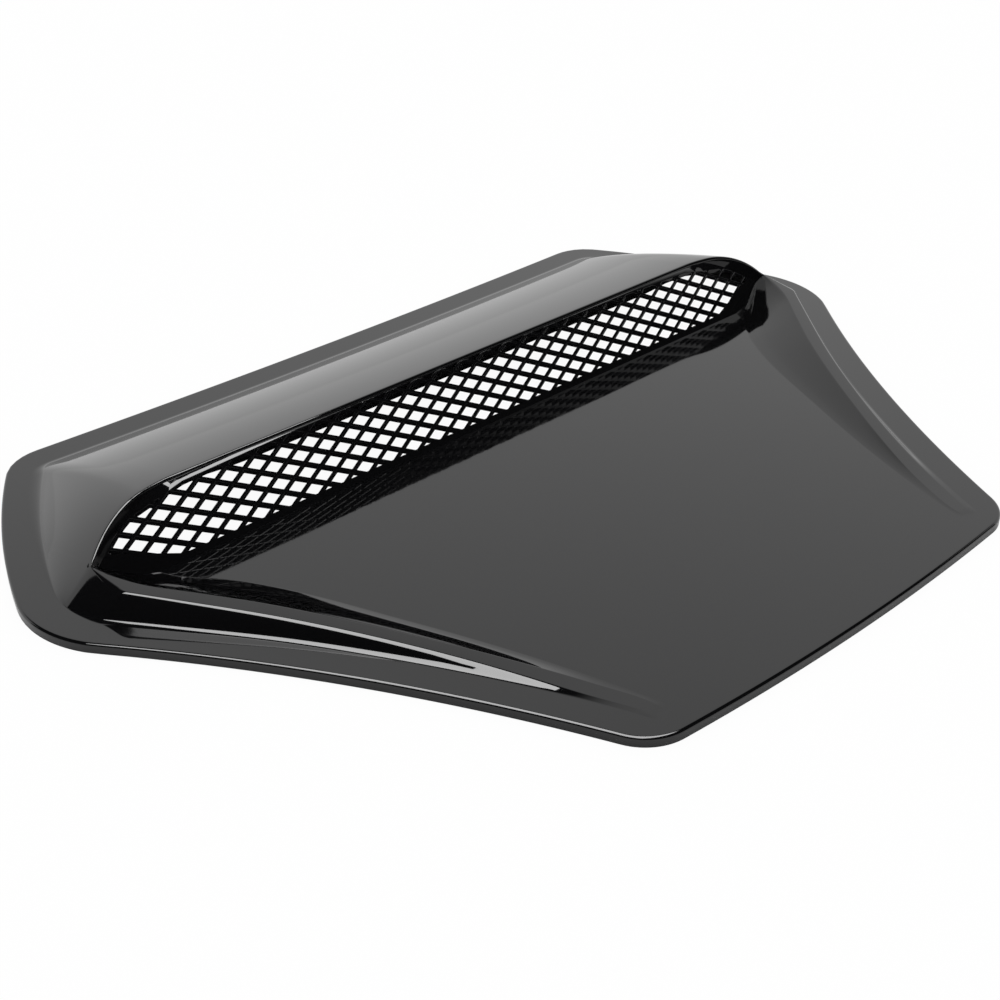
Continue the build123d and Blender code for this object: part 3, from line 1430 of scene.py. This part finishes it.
@dataclass(frozen=True)
class GlossBlackABS:
    """Gloss black ABS straight from a polished mould.

    The body is nearly black, so all that the eye gets is the clear mirror of its surface:
    grey where it is seen flat on, pale where it is seen along, broken only by the faint
    long waves that the cooling plastic leaves, by patches of handling haze and by a fine
    grain of dust. The grain is drawn coarser than real dust, so that it shows.
    """

    name: str = "gloss_black_abs"
    colour: str = "0b0b0c"
    roughness: float = 0.045
    least_rough: float = 0.8
    most_rough: float = 1.3
    ior: float = 1.5
    wave_mm: float = 34.0
    wave_height_mm: float = 0.012
    grain_mm: float = 0.9
    grain_height_mm: float = 0.0006
    haze_mm: float = 45.5

    def build(self) -> bpy.types.Material:
        """Builds the material.

        Returns:
            The material.
        """
        material = bpy.data.materials.new(self.name)
        tree = empty_tree(material)
        where = add_node(tree, "ShaderNodeTexCoord").outputs["Object"]
        waves = add_node(
            tree,
            "ShaderNodeTexNoise",
            {"Vector": where, "Scale": 1 / (self.wave_mm * MM), "Detail": 1.5, "Roughness": 0.4},
        )
        grain = add_node(
            tree,
            "ShaderNodeTexNoise",
            {"Vector": where, "Scale": 1 / (self.grain_mm * MM), "Detail": 2.0},
        )
        haze = add_node(
            tree,
            "ShaderNodeTexNoise",
            {"Vector": where, "Scale": 1 / (self.haze_mm * MM), "Detail": 4.0},
        )
        slow = add_node(
            tree,
            "ShaderNodeBump",
            {"Height": waves.outputs["Fac"], "Strength": 1.0, "Distance": self.wave_height_mm * MM},
        )
        fine = add_node(
            tree,
            "ShaderNodeBump",
            {
                "Height": grain.outputs["Fac"],
                "Strength": 1.0,
                "Distance": self.grain_height_mm * MM,
                "Normal": slow.outputs["Normal"],
            },
        )
        rough = add_node(
            tree,
            "ShaderNodeMapRange",
            {
                "Value": haze.outputs["Fac"],
                "From Min": 0.3,
                "From Max": 0.7,
                "To Min": self.roughness * self.least_rough,
                "To Max": self.roughness * self.most_rough,
            },
        )
        body = add_node(
            tree,
            "ShaderNodeBsdfPrincipled",
            {
                "Base Color": linear(self.colour),
                "Roughness": rough.outputs["Result"],
                "IOR": self.ior,
                "Normal": fine.outputs["Normal"],
            },
        )
        add_node(tree, "ShaderNodeOutputMaterial", {"Surface": body.outputs["BSDF"]})
        return material


@dataclass(frozen=True)
class StudioFloor:
    """Matt white studio floor that the camera sees as nearly pure white; sizes in metres."""

    name: str = "studio_floor"
    colour: str = "f4f4f4"
    glow: float = 0.95
    half_size: float = 6.0

    def paint(self) -> bpy.types.Material:
        """Builds the floor's matt paint, which glows to the camera alone.

        Returns:
            The material.
        """
        material = bpy.data.materials.new(self.name)
        tree = empty_tree(material)
        camera_ray = add_node(tree, "ShaderNodeLightPath").outputs["Is Camera Ray"]
        share = add_node(tree, "ShaderNodeMath", {0: camera_ray, 1: self.glow}, operation="MULTIPLY")
        matt = add_node(tree, "ShaderNodeBsdfDiffuse", {"Color": linear(self.colour)})
        white = add_node(tree, "ShaderNodeEmission", {"Color": linear("ffffff"), "Strength": 1.0})
        mix = add_node(
            tree,
            "ShaderNodeMixShader",
            {0: share.outputs[0], 1: matt.outputs["BSDF"], 2: white.outputs["Emission"]},
        )
        add_node(tree, "ShaderNodeOutputMaterial", {"Surface": mix.outputs["Shader"]})
        return material

    def build(self) -> None:
        """Builds the floor."""
        bm = bmesh.new()
        bmesh.ops.create_grid(bm, x_segments=1, y_segments=1, size=self.half_size)
        add_object(self.name, bm, self.paint())


@dataclass(frozen=True)
class SoftBox:
    """A bright square over the set; its place and size in metres, its turn in degrees."""

    name: str
    at: Point3
    size: Point3
    turn: float


@dataclass(frozen=True)
class Studio:
    """World, dark room, ceiling, soft boxes and camera; in metres and degrees.

    Room, ceiling and soft boxes light nothing and are hidden from the camera, so they show
    only in the part's gloss.
    """

    world: float = 1.0
    camera_at: Point3 = (-0.571, -0.5675, 0.475)
    camera_turn: Point3 = (58.3, 0.0, -42.9)
    lens_mm: float = 57.6
    sensor_mm: float = 36.0
    nearest: float = 0.01
    # Painted shade: near-black colour of the room in front, which stands for its lack of light.
    room_shade: str = "070707"
    room_height: float = 3.2
    room_radius: float = 2.4
    room_sides: int = 96
    room_open: tuple[Point2, Point2] = ((0.69, 0.72), (0.5, 0.87))
    room_edge: float = 0.1
    ceiling_half: Point3 = (5.0, 3.6, 1.0)
    ceiling_shift: float = 1.1
    ceiling_turn: float = -43.0
    ceiling_dark: float = 1.9
    ceiling_white: float = 3.2
    box_strength: float = 11.0
    boxes: tuple[SoftBox, ...] = (
        SoftBox("soft_box", (-0.448, -0.257, 1.5), (1.35, 1.8, 1.0), -68.0),
        SoftBox("side_soft_box", (0.58, 0.03, 1.5), (0.36, 0.55, 1.0), 0.0),
    )

    def hang(self, name: str, bm: bmesh.types.BMesh, material: bpy.types.Material) -> bpy.types.Object:
        """Adds an object that only the part's gloss shows.

        Args:
            name: name of the object.
            bm: its bmesh.
            material: its material.

        Returns:
            The object.
        """
        hung = add_object(name, bm, material)
        hung.visible_camera = False
        hung.visible_diffuse = False
        hung.visible_shadow = False
        return hung

    def glowing(self, name: str, strength: float) -> tuple[bpy.types.Material, bpy.types.Node]:
        """Builds an evenly glowing white material.

        Args:
            name: name of the material.
            strength: its brightness.

        Returns:
            The material and its emission node.
        """
        material = bpy.data.materials.new(name)
        tree = empty_tree(material)
        glow = add_node(tree, "ShaderNodeEmission", {"Color": linear("ffffff"), "Strength": strength})
        add_node(tree, "ShaderNodeOutputMaterial", {"Surface": glow.outputs["Emission"]})
        return material, glow

    def sky(self) -> None:
        """Sets an even white world."""
        world = bpy.data.worlds.new("studio_white")
        tree = empty_tree(world)
        white = {"Color": linear("ffffff"), "Strength": self.world}
        light = add_node(tree, "ShaderNodeBackground", white)
        add_node(tree, "ShaderNodeOutputWorld", {"Surface": light.outputs["Background"]})
        bpy.context.scene.world = world

    def dark_room(self) -> None:
        """Adds the unlit room in front of the set, open towards the backdrop; its darkness is painted
        shade, a near-black colour that shows only in the part's gloss.
        """
        bm = bmesh.new()
        bmesh.ops.create_cone(
            bm,
            cap_ends=False,
            segments=self.room_sides,
            radius1=self.room_radius,
            radius2=self.room_radius,
            depth=self.room_height,
        )
        bmesh.ops.translate(bm, verts=bm.verts[:], vec=(0.0, 0.0, self.room_height / 2))
        behind = bm.verts[:]
        for a, b in self.room_open:
            behind = [v for v in behind if v.co.x * a + v.co.y * b > self.room_edge]
        bmesh.ops.delete(bm, geom=behind, context="VERTS")
        # Painted shade: a near-black matt colour stands for the room's lack of light.
        material = bpy.data.materials.new("painted_room_shade")
        tree = empty_tree(material)
        room_shade = add_node(tree, "ShaderNodeBsdfDiffuse", {"Color": linear(self.room_shade)})
        add_node(tree, "ShaderNodeOutputMaterial", {"Surface": room_shade.outputs["BSDF"]})
        self.hang("dark_room", bm, material)

    def ceiling(self) -> None:
        """Adds the ceiling, white over the backdrop and unlit over the set."""
        bm = bmesh.new()
        bmesh.ops.create_grid(bm, x_segments=1, y_segments=1, size=1.0)
        bmesh.ops.scale(bm, verts=bm.verts[:], vec=self.ceiling_half)
        bmesh.ops.translate(bm, verts=bm.verts[:], vec=(0.0, self.ceiling_shift, 0.0))
        material, glow = self.glowing("ceiling_paint", 1.0)
        tree = material.node_tree
        coords = add_node(tree, "ShaderNodeTexCoord")
        split = add_node(tree, "ShaderNodeSeparateXYZ", {0: coords.outputs["Object"]})
        fall = add_node(
            tree,
            "ShaderNodeMapRange",
            {"Value": split.outputs["Y"], "From Min": self.ceiling_dark, "From Max": self.ceiling_white},
            interpolation_type="SMOOTHSTEP",
        )
        tree.links.new(fall.outputs["Result"], glow.inputs["Strength"])
        ceiling = self.hang("ceiling", bm, material)
        ceiling.location = (0.0, 0.0, self.room_height)
        ceiling.rotation_euler = (0.0, 0.0, math.radians(self.ceiling_turn))

    def soft_box(self, box: SoftBox) -> None:
        """Adds a soft box.

        Args:
            box: its name, place, size and turn.
        """
        bm = bmesh.new()
        bmesh.ops.create_grid(bm, x_segments=1, y_segments=1, size=0.5)
        material, _ = self.glowing(f"{box.name}_diffuser", self.box_strength)
        hung = self.hang(box.name, bm, material)
        hung.location = box.at
        hung.scale = box.size
        hung.rotation_euler = (0.0, 0.0, math.radians(box.turn))

    def camera(self) -> None:
        """Adds the camera at the photograph's viewing angle."""
        data = bpy.data.cameras.new("camera")
        data.lens = self.lens_mm
        data.sensor_width = self.sensor_mm
        data.clip_start = self.nearest
        camera = bpy.data.objects.new("camera", data)
        camera.location = self.camera_at
        camera.rotation_euler = [math.radians(a) for a in self.camera_turn]
        bpy.context.scene.collection.objects.link(camera)
        bpy.context.scene.camera = camera

    def build(self) -> None:
        """Sets up the light and the camera."""
        self.sky()
        self.dark_room()
        self.ceiling()
        for box in self.boxes:
            self.soft_box(box)
        self.camera()


class BonnetVent:
    """The whole moulding as one mesh piece."""

    name = "bonnet_vent_skin"
    sharp_angle = math.radians(32.0)
    middle_gap = 0.002 * MM
    normal_weight = 60

    def __init__(self) -> None:
        """Sets up the sizes."""
        self.form = Form(Outline(OutlineSize()), SkinSize(), MouthSize())

    def skin(self) -> bmesh.types.BMesh:
        """Builds the closed skin from its right half.

        Returns:
            The mesh.
        """
        skin = Skin()
        VentSkin(self.form).build(skin)
        skin.weld()
        bm = skin.bm
        bmesh.ops.recalc_face_normals(bm, faces=bm.faces[:])
        half = bm.verts[:] + bm.edges[:] + bm.faces[:]
        bmesh.ops.mirror(bm, geom=half, axis="X", merge_dist=self.middle_gap)
        bmesh.ops.recalc_face_normals(bm, faces=bm.faces[:])
        if sum(f.normal.z * f.calc_area() for f in bm.faces) < 0:
            bmesh.ops.reverse_faces(bm, faces=bm.faces[:])
        skin.thicken(self.form.s.wall * MM)
        return bm

    def add_lattice(self, bm: bmesh.types.BMesh) -> None:
        """Adds the lattice slab to the skin.

        Args:
            bm: the skin's mesh.
        """
        slab = bmesh.new()
        Lattice(self.form).build(slab)
        bmesh.ops.recalc_face_normals(slab, faces=slab.faces[:])
        mesh = bpy.data.meshes.new("lattice")
        slab.to_mesh(mesh)
        slab.free()
        bm.from_mesh(mesh)
        bpy.data.meshes.remove(mesh)

    def build(self) -> None:
        """Builds the piece and dresses it."""
        bm = self.skin()
        self.add_lattice(bm)
        for face in bm.faces:
            face.smooth = True
        piece = add_object(self.name, bm, GlossBlackABS().build())
        piece.data.set_sharp_from_angle(angle=self.sharp_angle)
        weigh = piece.modifiers.new("weighted_normals", "WEIGHTED_NORMAL")
        weigh.keep_sharp = True
        weigh.weight = self.normal_weight
        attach(piece, "root")
        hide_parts("bonnet_vent")
        log.info("%s: %d faces", piece.name, len(piece.data.polygons))


def main() -> None:
    """Builds the piece, the floor, the light and the camera."""
    logging.basicConfig(level=logging.INFO)
    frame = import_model()
    log.info("frame has %d nodes", len(frame["nodes"]))
    bpy.context.scene.view_settings.view_transform = "Standard"
    BonnetVent().build()
    StudioFloor().build()
    Studio().build()


if __name__ == "__main__":
    main()
